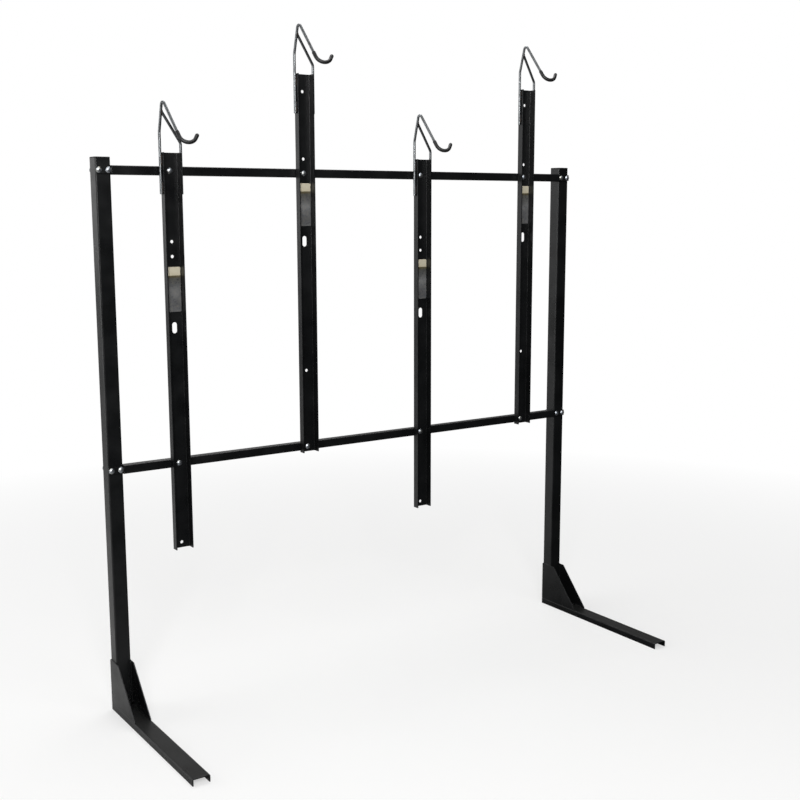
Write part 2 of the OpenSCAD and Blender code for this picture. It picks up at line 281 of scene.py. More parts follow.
def makeZincPlate(name, look):
    material, tree, coords = startMaterial(name)
    patch = addNode(tree, "TexNoise", {"Scale": 1000 / look["blueMm"], "Detail": 3}, {"Vector": coords})
    tinge = addNode(tree, "TexNoise", {"Scale": 1000 / look["strawMm"]}, {"Vector": coords})
    brush = addNode(tree, "TexNoise", {"Scale": 1000 / look["brushMm"], "Detail": 3, "Roughness": 0.6},
                    {"Vector": coords})
    blued = addNode(tree, "MapRange", {**noiseSpan, "To Max": 0.8}, {"Value": patch})
    base = addNode(tree, "Mix", {"data_type": "RGBA", "A": look["zinc"], "B": look["blue"]},
                   {"Factor": blued})
    tinted = addNode(tree, "MapRange", {"From Min": 0.5, "From Max": 0.72, "To Max": 0.5},
                     {"Value": tinge})
    base = addNode(tree, "Mix", {"data_type": "RGBA", "B": look["straw"]}, {"Factor": tinted, "A": base})
    gloss = addNode(tree, "MapRange", {**noiseSpan, "To Min": look["smooth"], "To Max": look["rough"]},
                    {"Value": patch})
    bump = addNode(tree, "Bump", {"Strength": 0.12, "Distance": look["brushDeepMm"] * mm},
                   {"Height": brush})
    shader = addNode(tree, "BsdfPrincipled", {"Metallic": 1.0},
                     {"Base Color": base, "Roughness": gloss, "Normal": bump})
    addNode(tree, "OutputMaterial", links={"Surface": shader})
    return material


# plastisol vinyl, dipped hot: soft satin black skin with slow waves where it ran before it set
vinylLook = {
    "colour": "#101011",
    "bloom": "#1f1f20",
    "smooth": 0.4,
    "rough": 0.54,
    "waveMm": 12,
    "waveDeepMm": 0.5,
    "skinMm": 1.8,
    "skinDeepMm": 0.12,
}


def makeDippedVinyl(name, look):
    material, tree, coords = startMaterial(name)
    wave = addNode(tree, "TexNoise", {"Scale": 1000 / look["waveMm"]}, {"Vector": coords})
    skin = addNode(tree, "TexNoise", {"Scale": 1000 / look["skinMm"]}, {"Vector": coords})
    tone = addNode(tree, "MapRange", noiseSpan, {"Value": wave})
    base = addNode(tree, "Mix", {"data_type": "RGBA", "A": look["colour"], "B": look["bloom"]},
                   {"Factor": tone})
    gloss = addNode(tree, "MapRange", {**noiseSpan, "To Min": look["smooth"], "To Max": look["rough"]},
                    {"Value": wave})
    ran = addNode(tree, "Bump", {"Strength": 0.25, "Distance": look["waveDeepMm"] * mm},
                  {"Height": wave})
    bump = addNode(tree, "Bump", {"Strength": 0.12, "Distance": look["skinDeepMm"] * mm},
                   {"Height": skin, "Normal": ran})
    shader = addNode(tree, "BsdfPrincipled", {"IOR": 1.53},
                     {"Base Color": base, "Roughness": gloss, "Normal": bump})
    addNode(tree, "OutputMaterial", links={"Surface": shader})
    return material


# polyethylene, injection moulded in a spark-eroded tool: matt black with a fine even grain
capLook = {
    "colour": "#151516",
    "scuff": "#2a2a2b",
    "smooth": 0.48,
    "rough": 0.64,
    "grainMm": 1.2,  # real spark grain is about 0.1 mm, drawn coarser so that it shows
    "grainDeepMm": 0.12,
    "scuffMm": 8,
}


def makeMouldedCap(name, look):
    material, tree, coords = startMaterial(name)
    grain = addNode(tree, "TexNoise", {"Scale": 1000 / look["grainMm"]}, {"Vector": coords})
    scuff = addNode(tree, "TexNoise", {"Scale": 1000 / look["scuffMm"], "Detail": 4, "Roughness": 0.65},
                    {"Vector": coords})
    scuffed = addNode(tree, "MapRange", {"From Min": 0.5, "From Max": 0.7, "To Max": 0.8},
                      {"Value": scuff})
    base = addNode(tree, "Mix", {"data_type": "RGBA", "A": look["colour"], "B": look["scuff"]},
                   {"Factor": scuffed})
    gloss = addNode(tree, "MapRange", {**noiseSpan, "To Min": look["smooth"], "To Max": look["rough"]},
                    {"Value": scuff})
    bump = addNode(tree, "Bump", {"Strength": 0.3, "Distance": look["grainDeepMm"] * mm},
                   {"Height": grain})
    shader = addNode(tree, "BsdfPrincipled", {"IOR": 1.51},
                     {"Base Color": base, "Roughness": gloss, "Normal": bump})
    addNode(tree, "OutputMaterial", links={"Surface": shader})
    return material


powderCoat = makePowderCoat("blackPowderCoat", coatLook)
galvanisedRod = makeGalvanisedRod("galvanisedRod", rodLook)
weldOxide = makeWeldOxide("asWeldedSteel", weldLook)
zincPlate = makeZincPlate("brightZincPlate", zincLook)
dippedVinyl = makeDippedVinyl("dippedBlackVinyl", vinylLook)
mouldedCap = makeMouldedCap("mouldedPolyethylene", capLook)
print("materials made")


def addPiece(name, bm, material, replaced=(), sharp=32):
    # edges that turn by more than sharp degrees stay crisp
    mesh = bpy.data.meshes.new(name)
    bm.to_mesh(mesh)
    bm.free()
    mesh.materials.append(material)
    mesh.shade_smooth()
    mesh.set_sharp_from_angle(angle=math.radians(sharp))
    piece = bpy.data.objects.new(name, mesh)
    scene.collection.objects.link(piece)
    even = piece.modifiers.new("evenNormals", "WEIGHTED_NORMAL")
    even.keep_sharp = True
    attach(piece, "root")
    if replaced:
        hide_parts(*replaced)


# the frame's own solids, merged, with their sharp edges eased by a width in mm: sheared and sawn steel
# under paint, and caps from a mould
easeSpec = {
    "coated": {"upright": 0.5, "foot": 0.6, "gusset": 0.5, "rail": 0.35, "tab": 0.6, "post": 0.45},
    "moulded": {"cap": 0.9},
    "flatTurn": 0.6,  # degrees between faces that are one flat
    "sharpTurn": 35,
    "segments": 2,
}


def easedCopy(spec, node, width, material):
    bm = bmesh.new()
    bm.from_mesh(cadNodes[node].data)
    bmesh.ops.remove_doubles(bm, verts=bm.verts, dist=mergeGap)
    bmesh.ops.dissolve_limit(bm, angle_limit=math.radians(spec["flatTurn"]),
                             verts=bm.verts, edges=bm.edges)
    least = math.radians(spec["sharpTurn"])
    sharp = [edge for edge in bm.edges if len(edge.link_faces) == 2 and edge.calc_face_angle(0) > least]
    wear = bm.faces.layers.float.new("edgeWear")
    eased = bmesh.ops.bevel(bm, geom=sharp, offset=width * mm, offset_type="OFFSET", affect="EDGES",
                            segments=spec["segments"], profile=0.5, clamp_overlap=True, material=-1)
    for face in eased["faces"]:
        face[wear] = 1.0
    addPiece(node + "_coated", bm, material, (node,))


for nodeName in cadNodes:
    kind = nodeName.rstrip("_1234").split("_")[-1]  # the name's last word, without its number
    if kind in easeSpec["coated"]:
        easedCopy(easeSpec, nodeName, easeSpec["coated"][kind], powderCoat)
    elif kind in easeSpec["moulded"]:
        easedCopy(easeSpec, nodeName, easeSpec["moulded"][kind], mouldedCap)
print("frame, rails and posts coated")


def sweep(bm, stations, facets, closeEnds=True):
    # a ring of unit radius carried through the stations, which hold its place, turn and radius;
    # gives the last ring's edges
    ring = bmesh.ops.create_circle(bm, cap_ends=False, segments=facets, radius=1.0, matrix=stations[0])
    first = list({edge for vert in ring["verts"] for edge in vert.link_edges})
    last = first
    for before, after in zip(stations, stations[1:]):
        grown = bmesh.ops.extrude_edge_only(bm, edges=last)["geom"]
        verts = {item for item in grown if isinstance(item, bmesh.types.BMVert)}
        edges = [item for item in grown if isinstance(item, bmesh.types.BMEdge)]
        last = [edge for edge in edges if set(edge.verts) <= verts]
        bmesh.ops.transform(bm, matrix=after @ before.inverted(), verts=list(verts))
    if closeEnds:
        for loop in (first, last):
            bmesh.ops.edgeloop_fill(bm, edges=loop)
    return last


def bendPath(place, steps, arcStep=6):
    # steps of straight run, bend radius, angle turned and roll, as a bar bender works, in mm and degrees
    path = [place.copy()]
    rolled = 0.0
    for straight, radius, turn, roll in steps:
        if straight:
            place = place @ Matrix.Translation((0, 0, straight * mm))
            path.append(place.copy())
        if turn:
            rolled += roll
            swing = Matrix.Rotation(math.radians(rolled), 4, "Z")
            hub = Matrix.Translation((radius * mm, 0, 0))
            count = math.ceil(turn / arcStep)
            for k in range(1, count + 1):
                arc = hub @ Matrix.Rotation(math.radians(turn * k / count), 4, "Y") @ hub.inverted()
                path.append(place @ swing @ arc @ swing.inverted())
            place = path[-1].copy()
    return path


def sized(path, radius):
    return [place @ Matrix.Scale(radius * mm, 4) for place in path]


def chamfered(path, radius, cut):
    # the two ends of a bar, with their corners taken off
    inner = Matrix.Scale((radius - cut) * mm, 4)
    nudge = Matrix.Translation((0, 0, cut * mm))
    full = sized([path[0] @ nudge, *path[1:-1], path[-1] @ nudge.inverted()], radius)
    return [path[0] @ inner, *full, path[-1] @ inner]


# hook rods, braces and sleeves, in mm and degrees; heights are measured from the post's top
hookSpec = {
    "legX": 31.1,  # from the post's middle
    "legLong": 115.0,
    "rodRadius": 4.0,
    "leanAt": 55.0,
    "leanTurn": 16.0,
    "leanRadius": 25.0,
    "archHigh": 134.0,
    "archRadius": 8.0,
    "archTurn": 130.0,
    "archTwist": 10.0,
    "slope": 111.0,
    "hookRadius": 24.0,
    "hookTurn": 138.0,
    "hookTwist": 105.0,
    "tip": 12.0,
    "braceAt": 27.0,
    "braceTop": 112.0,
    "braceRadius": 16.0,
    "braceShort": 2.2,
    "sleeveUp": 16.0,
    "sleeveRadius": 5.56,
    "sleeveWall": 1.5,
    "facets": 24,
    "cut": 0.6,
    "domeRings": 7,
    "domeSteps": 7.4,  # to the pole, so that the last ring stops just short of it
}


def hookSteps(spec):
    lean, twist = math.radians(spec["leanTurn"]), math.radians(spec["archTwist"])
    tilt = math.cos(twist) * math.sin(lean)
    crest = math.atan2(math.cos(lean), tilt)
    crestUp = spec["archRadius"] * (math.sin(crest) * math.cos(lean) - (1 - math.cos(crest)) * tilt)
    used = spec["leanRadius"] * math.tan(lean / 2)
    run = (spec["archHigh"] - crestUp - spec["leanAt"]) / math.cos(lean) - used
    return [
        (spec["legLong"] + spec["leanAt"] - used, spec["leanRadius"], spec["leanTurn"], -90),
        (run, spec["archRadius"], spec["archTurn"], spec["archTwist"]),
        (spec["slope"], spec["hookRadius"], spec["hookTurn"], spec["hookTwist"]),
        (spec["tip"], 0, 0, 0),
    ]


def braceSteps(spec):
    # bends once, towards the point of the hook rod's leaning leg at the brace's top
    back = -(spec["braceTop"] - spec["leanAt"]) * math.tan(math.radians(spec["leanTurn"]))
    high = spec["braceTop"] - spec["braceAt"]
    out = math.hypot(2 * spec["legX"], back)
    lean = math.atan2(out, high)
    used = spec["braceRadius"] * math.tan(lean / 2)
    roll = math.degrees(math.atan2(back, -2 * spec["legX"]))
    first = (spec["legLong"] + spec["braceAt"] - used, spec["braceRadius"], math.degrees(lean), roll)
    return [first, (math.hypot(out, high) - used, 0, 0, 0)]


def legStart(spec, number, side):
    # a leg's lower end, beside its post and in the middle of the post's depth
    post = "post_" + number
    x, y, _ = middleOf(post)
    top = boxOf(post)[1][2]
    return Matrix.Translation(Vector((x + side * spec["legX"], y, top - spec["legLong"])) * mm)


def hookRod(spec, number):
    bm = bmesh.new()
    path = bendPath(legStart(spec, number, -1), hookSteps(spec))
    sweep(bm, chamfered(path, spec["rodRadius"], spec["cut"]), spec["facets"])
    bmesh.ops.recalc_face_normals(bm, faces=bm.faces)
    node = "hook_rod_" + number
    addPiece(node + "_galvanised", bm, galvanisedRod, (node,))


def braceRod(spec, number):
    # stops just short of the hook rod's axis, inside the rod it is welded to, and gives where they meet
    bm = bmesh.new()
    first, lean = braceSteps(spec)
    path = bendPath(legStart(spec, number, 1), [first, (lean[0] - spec["braceShort"], 0, 0, 0)])
    sweep(bm, chamfered(path, spec["rodRadius"], spec["cut"]), spec["facets"])
    bmesh.ops.recalc_face_normals(bm, faces=bm.faces)
    node = "brace_rod_" + number
    addPiece(node + "_galvanised", bm, galvanisedRod, (node,))
    return path[-1] @ Matrix.Translation((0, 0, spec["braceShort"] * mm))


def hookSleeve(spec, number):
    # an open skin over the hook with a rounded tip, then its wall grown inwards
    bm = bmesh.new()
    lean, arch, hook, tip = hookSteps(spec)
    bareSlope = (hook[0] - spec["sleeveUp"], 0, 0, 0)
    start = bendPath(legStart(spec, number, -1), [lean, arch, bareSlope])[-1]
    start = start @ Matrix.Rotation(math.radians(lean[3] + arch[3]), 4, "Z")
    path = bendPath(start, [(spec["sleeveUp"], *hook[1:]), tip])
    stations = sized(path, spec["sleeveRadius"])
    for k in range(1, spec["domeRings"] + 1):
        angle = math.radians(90 * k / spec["domeSteps"])
        dome = path[-1] @ Matrix.Translation((0, 0, spec["sleeveRadius"] * mm * math.sin(angle)))
        stations.append(dome @ Matrix.Scale(spec["sleeveRadius"] * mm * math.cos(angle), 4))
    tipRing = sweep(bm, stations, spec["facets"], closeEnds=False)
    bmesh.ops.edgeloop_fill(bm, edges=tipRing)
    bmesh.ops.recalc_face_normals(bm, faces=bm.faces)
    bmesh.ops.solidify(bm, geom=bm.faces[:], thickness=spec["sleeveWall"] * mm)
    bmesh.ops.recalc_face_normals(bm, faces=bm.faces)
    node = "hook_sleeve_" + number
    addPiece(node + "_dipped", bm, dippedVinyl, (node,))


braceEnds = {}
for number in postNumbers:
    hookRod(hookSpec, number)
    braceEnds[number] = braceRod(hookSpec, number)
    hookSleeve(hookSpec, number)
print("hooks, braces and sleeves bent")


def joined(bm, part):
    temp = bpy.data.meshes.new("part")
    part.to_mesh(temp)
    part.free()
    bm.from_mesh(temp)
    bpy.data.meshes.remove(temp)


def outline(bm, profile, place):
    # profile of (radius, height) in mm, drawn on the place's own XZ plane
    verts = [bm.verts.new(place @ Vector((radius * mm, 0, height * mm))) for radius, height in profile]
    return verts + [bm.edges.new(pair) for pair in zip(verts, verts[1:])]


def lathe(bm, profile, place, facets):
    axis = place.to_3x3() @ Vector((0, 0, 1))
    bmesh.ops.spin(bm, geom=outline(bm, profile, place), cent=place.translation, axis=axis,
                   dvec=(0, 0, 0), angle=math.tau, steps=facets, use_merge=True, use_duplicate=False)


# bolts, washers and nuts, in mm
boltSpec = {
    "headRadius": 8.25,
    "headHigh": 4.4,
    "rimHigh": 0.8,
    "ease": 0.2,
    "domeInset": 0.25,
    "domeSteps": 9,
    "shank": 4.0,
    "root": 3.35,
    "core": 3.4,  # a little over the thread's root, to close its foot
    "crest": 3.98,
    "point": 2.95,
    "pitch": 1.25,
    "crestShares": (0.45, 0.55),  # of the pitch
    "threadTurns": 4,
    "runOut": 0.5,
    "chamfer": 0.5,
    "turnSteps": 20,
    "facets": 28,
}
washerSpec = {"inner": 4.06, "outer": 8.5, "thick": 1.6, "ease": 0.25, "facets": 40}
nutSpec = {
    "bore": 4.06,
    "flat": 6.5,  # from the middle to a flat
    "high": 6.5,
    "face": 6.15,
    "chamfer": 0.75,
    "mouth": 0.45,
    "facets": 48,
}
boltApart = 27.0  # between the two bolts of a rail's end
anyTurn = (0, 6.28)  # how far a bolt or nut may be turned, in radians
turns = random.Random(7)

# the frame's own lines, on which the fasteners and the welds stand
uprightX = {side: middleOf(node)[0] for side, node in ((-1, "left_upright"), (1, "right_upright"))}
frameY = middleOf("left_upright")[1]
railZ = [middleOf(node)[2] for node in ("upper_rail", "lower_rail")]
boltSpots = {
    "rail": [(uprightX[side] + s * boltApart / 2, z) for side in (-1, 1) for z in railZ for s in (-1, 1)],
    "post": [(middleOf("post_" + number)[0], z) for number in postNumbers for z in railZ],
}


def alongY(x, y, z, turn=0.0):
    # local Z runs from the front of the rack to its back
    place = Matrix.Translation(Vector((x, y, z)) * mm) @ Matrix.Rotation(math.radians(-90), 4, "X")
    return place @ Matrix.Rotation(turn, 4, "Z")


def domeBolt(bm, spec, place, length):
    # head below its seat at height 0, shank above it
    radius, ease = spec["headRadius"], spec["ease"]
    domeHigh = spec["headHigh"] - spec["rimHigh"]
    big = (radius ** 2 + domeHigh ** 2) / (2 * domeHigh)
    wide = math.asin((radius - spec["domeInset"]) / big)
    dome = []
    for k in range(spec["domeSteps"] + 1):
        angle = wide * k / spec["domeSteps"]
        dome.append((big * math.sin(angle), -spec["headHigh"] + big * (1 - math.cos(angle))))
    rim = [(radius, ease - spec["rimHigh"]), (radius, -ease), (radius - ease, 0)]
    threadFrom = length - spec["threadTurns"] * spec["pitch"] - spec["chamfer"]
    shank = [(spec["shank"], 0), (spec["shank"], threadFrom - spec["runOut"]), (spec["core"], threadFrom),
             (spec["core"], length - spec["chamfer"] / 2), (spec["point"], length), (0, length)]
    lathe(bm, dome + rim + shank, place, spec["facets"])
    # thread: one V of a pitch's length, screwed along the shank
    rise, fall = [threadFrom + spec["pitch"] * share for share in spec["crestShares"]]
    profile = [(spec["root"], threadFrom), (spec["crest"], rise), (spec["crest"], fall),
               (spec["root"], threadFrom + spec["pitch"])]
    axis = place.to_3x3() @ Vector((0, 0, 1))
    turnCount = spec["threadTurns"] - 1
    bmesh.ops.spin(bm, geom=outline(bm, profile, place), cent=place.translation, axis=axis,
                   dvec=axis * (spec["pitch"] * mm / spec["turnSteps"]), angle=math.tau * turnCount,
                   steps=spec["turnSteps"] * turnCount, use_merge=False, use_duplicate=False)


def ringWasher(bm, spec, place):
    inner, outer, thick, ease = (spec[key] for key in ("inner", "outer", "thick", "ease"))
    lathe(bm, [(inner, ease), (inner + ease, 0), (outer - ease, 0), (outer, ease),
               (outer, thick - ease), (outer - ease, thick), (inner + ease, thick), (inner, thick - ease),
               (inner, ease)], place, spec["facets"])


def hexNut(bm, spec, place):
    # a turned and chamfered blank, then six flats milled off
    blank = bmesh.new()
    corner = spec["flat"] / math.cos(math.radians(30))
    bore, face, high, mouth, chamfer = (spec[key] for key in ("bore", "face", "high", "mouth", "chamfer"))
    lathe(blank, [(bore, mouth), (bore + mouth, 0), (face, 0), (corner, chamfer),
                  (corner, high - chamfer), (face, high), (bore + mouth, high), (bore, high - mouth),
                  (bore, mouth)], Matrix.Identity(4), spec["facets"])
    bmesh.ops.remove_doubles(blank, verts=blank.verts, dist=mergeGap)
    bmesh.ops.recalc_face_normals(blank, faces=blank.faces)
    for k in range(6):
        angle = math.radians(60 * k)
        outward = Vector((math.cos(angle), math.sin(angle), 0))
        cut = bmesh.ops.bisect_plane(blank, geom=blank.verts[:] + blank.edges[:] + blank.faces[:],
                                     dist=mergeGap / 4, plane_co=outward * spec["flat"] * mm,
                                     plane_no=outward, clear_outer=True)
        rim = [item for item in cut["geom_cut"] if isinstance(item, bmesh.types.BMEdge)]
        bmesh.ops.edgeloop_fill(blank, edges=rim)
    bmesh.ops.transform(blank, matrix=place, verts=blank.verts)
    joined(bm, blank)


for row, spots in boltSpots.items():
    # the seats of heads and washers, and the bolts' ends, as far back as the frame has them
    lowest, highest = boxOf(row + "_bolts")
    seat, tip = lowest[1] + boltSpec["headHigh"], highest[1]
    washerSeat = boxOf(row + "_washers")[0][1]
    nutSeat = washerSeat + washerSpec["thick"]
    bolts, washers, nuts = bmesh.new(), bmesh.new(), bmesh.new()
    for x, z in spots:
        domeBolt(bolts, boltSpec, alongY(x, seat, z, turns.uniform(*anyTurn)), tip - seat)
        ringWasher(washers, washerSpec, alongY(x, washerSeat, z))
        hexNut(nuts, nutSpec, alongY(x, nutSeat, z, turns.uniform(*anyTurn)))
    for kind, bm in (("bolts", bolts), ("washers", washers), ("nuts", nuts)):
        bmesh.ops.remove_doubles(bm, verts=bm.verts, dist=mergeGap)
        bmesh.ops.holes_fill(bm, edges=[edge for edge in bm.edges if len(edge.link_faces) == 1], sides=0)
        bmesh.ops.recalc_face_normals(bm, faces=bm.faces)
        node = row + "_" + kind
        addPiece(node + "_plated", bm, zincPlate, (node,), sharp=25)
print("bolts, washers and nuts fitted")


# labels: a blank printed film with a cream band above a grey field, in mm
labelSpec = {"wide": 44.4, "tall": 127.5, "thick": 0.4, "corner": 3.0, "cornerSteps": 6}
labelLook = {
    "aged": "#bfb495",
    "patch": "#424345",
    "smooth": 0.24,
    "rough": 0.4,
    "mottleMm": 7,
    "mottleDeepMm": 0.1,
    "patchMm": 26,
    "rippleMm": 18,
    "rippleDeepMm": 0.6,
    "fieldEnds": (0.7, 0.8),  # shares of the height between which the grey field's patches fade out
    # inks from the label's foot to its top: share of its height, colour
    "inks": (
        (0.0, "#666769"), (0.16, "#5e5f61"), (0.3, "#696a6c"), (0.46, "#7b7c7d"), (0.6, "#5d5e5f"),
        (0.76, "#50504b"), (0.762, "#4f4936"), (0.808, "#645c45"), (0.81, "#cfc6ab"), (0.9, "#d8d0b9"),
    ),
}


def makeLabelFilm(name, look):
    # polyester film, screen printed and clear laminated: smooth and slightly rippled, with flat inks
    material, tree, coords = startMaterial(name)
    flat = addNode(tree, "UVMap", {"uv_map": "labelFlat"})
    up = addNode(tree, "SeparateXYZ", links={"Vector": flat}).outputs["Y"]
    mottle = addNode(tree, "TexNoise", {"Scale": 1000 / look["mottleMm"], "Detail": 4, "Roughness": 0.6},
                     {"Vector": coords})
    patch = addNode(tree, "TexNoise", {"Scale": 1000 / look["patchMm"]}, {"Vector": coords})
    ripple = addNode(tree, "TexNoise", {"Scale": 1000 / look["rippleMm"]}, {"Vector": coords})
    inks = addNode(tree, "ValToRGB", links={"Fac": up}, stops=look["inks"])
    worn = addNode(tree, "MapRange", {"From Min": 0.45, "From Max": 0.7, "To Max": 0.12},
                   {"Value": mottle})
    base = addNode(tree, "Mix", {"data_type": "RGBA", "B": look["aged"]}, {"Factor": worn, "A": inks})
    # darker patches, on the grey field alone
    dark = addNode(tree, "MapRange", {"From Min": 0.45, "From Max": 0.62, "To Max": 0.3},
                   {"Value": patch})
    low, high = look["fieldEnds"]
    field = addNode(tree, "MapRange", {"From Min": low, "From Max": high, "To Min": 1, "To Max": 0},
                    {"Value": up})
    dark = addNode(tree, "Math", {"operation": "MULTIPLY"}, {0: dark, 1: field})
    base = addNode(tree, "Mix", {"data_type": "RGBA", "B": look["patch"]}, {"Factor": dark, "A": base})
    gloss = addNode(tree, "MapRange", {**noiseSpan, "To Min": look["smooth"], "To Max": look["rough"]},
                    {"Value": mottle})
    rippled = addNode(tree, "Bump", {"Strength": 0.2, "Distance": look["rippleDeepMm"] * mm},
                      {"Height": ripple})
    bump = addNode(tree, "Bump", {"Strength": 0.06, "Distance": look["mottleDeepMm"] * mm},
                   {"Height": mottle, "Normal": rippled})
    shader = addNode(tree, "BsdfPrincipled", {"IOR": 1.57},
                     {"Base Color": base, "Roughness": gloss, "Normal": bump})
    addNode(tree, "OutputMaterial", links={"Surface": shader})
    return material


def filmLabel(spec, number, material):
    # drawn flat with its UV map, then stood up with its back where the frame's label has its own
    node = "label_" + number
    x, _, z = middleOf(node)
    back = boxOf(node)[1][1]
    upright = Matrix.Translation(Vector((x, back, z)) * mm) @ Matrix.Rotation(math.radians(90), 4, "X")
    bm = bmesh.new()
    bmesh.ops.create_grid(bm, x_segments=1, y_segments=1, size=0.5 * mm)  # a square of 1 mm
    bmesh.ops.scale(bm, vec=(spec["wide"], spec["tall"], 1), verts=bm.verts)
    bmesh.ops.bevel(bm, geom=bm.verts[:], offset=spec["corner"] * mm, offset_type="OFFSET",
                    affect="VERTICES", segments=spec["cornerSteps"], profile=0.5, clamp_overlap=True,
                    material=-1)
    grown = bmesh.ops.extrude_face_region(bm, geom=bm.faces[:])["geom"]
    top = [item for item in grown if isinstance(item, bmesh.types.BMVert)]
    bmesh.ops.translate(bm, verts=top, vec=(0, 0, spec["thick"] * mm))
    bmesh.ops.recalc_face_normals(bm, faces=bm.faces)
    layer = bm.loops.layers.uv.new("labelFlat")
    for face in bm.faces:
        for loop in face.loops:
            spot = loop.vert.co
            loop[layer].uv = (spot.x / (spec["wide"] * mm) + 0.5, spot.y / (spec["tall"] * mm) + 0.5)
    bmesh.ops.transform(bm, matrix=upright, verts=bm.verts)
    addPiece(node + "_film", bm, material, (node,))


labelFilm = makeLabelFilm("laminatedLabelFilm", labelLook)
for number in postNumbers:
    filmLabel(labelSpec, number, labelFilm)
print("labels laid on")


# weld beads, with the ripples of a hand-held torch, in mm
weldSpec = {
    "ripple": 1.5,
    "ring": 0.5,
    "leastRings": 8,
    "depth": 0.12,
    "uneven": 0.03,
    "taper": 2.0,
    "blunt": 0.02,  # the square of the share of its size that a bead has at its very end
    "facets": 10,
    "saddleSteps": 48,
}
wobble = random.Random(21)


def weldBead(bm, points, radius):
    # laid along a line of points in mm; each ripple is a short cone
    spec = weldSpec
    bead = bmesh.new()
    points = [Vector(point) for point in points]
    lengths = [(after - before).length for before, after in zip(points, points[1:])]
    long = sum(lengths)
    count = max(spec["leastRings"], round(long / spec["ring"]))
    stations = []
    turn = (points[1] - points[0]).to_track_quat("Z", "Y")
    aim = (points[1] - points[0]).normalized()
    leg, passed = 0, 0.0
    for k in range(count + 1):
        run = long * k / count
        while leg < len(lengths) - 1 and run > passed + lengths[leg]:
            passed += lengths[leg]
            leg += 1
        along = (points[leg + 1] - points[leg]).normalized()
        turn = aim.rotation_difference(along) @ turn
        aim = along
        nearEnd = min(1.0, min(run, long - run) / spec["taper"])
        swell = math.sqrt(max(spec["blunt"], 1 - (1 - nearEnd) ** 2))
        phase = (run / spec["ripple"]) % 1.0
        size = radius * swell * (1 - spec["depth"] * phase) * wobble.uniform(1 - spec["uneven"], 1.0)
        place = Matrix.Translation(points[leg].lerp(points[leg + 1], (run - passed) / lengths[leg]) * mm)
        stations.append(place @ turn.to_matrix().to_4x4() @ Matrix.Scale(size * mm, 4))
    sweep(bead, stations, spec["facets"])
    joined(bm, bead)


def saddleLine(place, other, radius):
    # where a bar along the place's own Z meets another bar of its size; back at its start, in mm
    along = place.to_3x3() @ Vector((0, 0, 1))
    across = (other - along * other.dot(along)).normalized()
    side = along.cross(across)
    meets = math.acos(along.dot(other))
    line = []
    for k in range(weldSpec["saddleSteps"] + 1):
        angle = math.tau * k / weldSpec["saddleSteps"]
        back = radius * (abs(math.cos(angle)) - math.cos(angle) * math.cos(meets)) / math.sin(meets)
        rim = across * math.cos(angle) + side * math.sin(angle)
        line.append(place.translation / mm - along * back + rim * radius)
    return line


# beads on the frame, in mm: out to the side from the upright's middle, y from there too, z from the floor
sideWelds = {
    "gussetOnFootEdge": {"out": 22.7, "y": (-150, 21), "z": (17.9, 17.9), "radius": 2.2},
    "gussetTopOnUpright": {"out": 22.2, "y": (-20, 20), "z": (154.2, 154.2), "radius": 2.3},
    "uprightFrontOnGusset": {"out": 21.2, "y": (-22.2, -22.2), "z": (26, 152), "radius": 2.4},
    "gussetOnFootTop": {"out": 21.4, "y": (-140, -26), "z": (20.4, 20.4), "radius": 2.2},
}
backWeld = {"out": 20, "y": 21.6, "z": 20.4, "radius": 2.4}  # across the upright's back, on the foot
tabWeld = {"out": 22.8, "y": -27.6, "half": 9, "radius": 1.9}  # up the tab's front, on the rail's end

frameWelds = bmesh.new()
for side, x in uprightX.items():
    for face in (-1, 1):
        for weld in sideWelds.values():
            line = [(x + face * weld["out"], frameY + y, z) for y, z in zip(weld["y"], weld["z"])]
            weldBead(frameWelds, line, weld["radius"])
    line = [(x + end * backWeld["out"], frameY + backWeld["y"], backWeld["z"]) for end in (-1, 1)]
    weldBead(frameWelds, line, backWeld["radius"])
    for z in railZ:
        inner = x - side * tabWeld["out"]
        line = [(inner, frameY + tabWeld["y"], z + end * tabWeld["half"]) for end in (-1, 1)]
        weldBead(frameWelds, line, tabWeld["radius"])
bmesh.ops.recalc_face_normals(frameWelds, faces=frameWelds.faces)
frameWelds.faces.layers.float.new("edgeWear")
addPiece("frame_welds_coated", frameWelds, powderCoat, sharp=60)

# two stitches before and two behind each leg, and one bead round the brace's end, in mm
stitchSpec = {
    "lows": (-111, -36),  # their lower ends, from the post's top
    "long": 30,
    "outX": 28.2,
    "offY": 3.1,
    "radius": 1.9,
    "saddleRadius": 1.7,
}
rodWelds = bmesh.new()
lean = math.radians(hookSpec["leanTurn"])
leaning = Vector((0, -math.sin(lean), math.cos(lean)))
for number in postNumbers:
    middle = middleOf("post_" + number)
    postTop = boxOf("post_" + number)[1][2]
    for side in (-1, 1):
        x = middle[0] + side * stitchSpec["outX"]
        for y in (middle[1] - stitchSpec["offY"], middle[1] + stitchSpec["offY"]):
            for low in stitchSpec["lows"]:
                line = [(x, y, postTop + low), (x, y, postTop + low + stitchSpec["long"])]
                weldBead(rodWelds, line, stitchSpec["radius"])
    saddle = saddleLine(braceEnds[number], leaning, hookSpec["rodRadius"])
    weldBead(rodWelds, saddle, stitchSpec["saddleRadius"])
bmesh.ops.recalc_face_normals(rodWelds, faces=rodWelds.faces)
addPiece("rod_welds_oxide", rodWelds, weldOxide, sharp=60)
print("weld beads run")


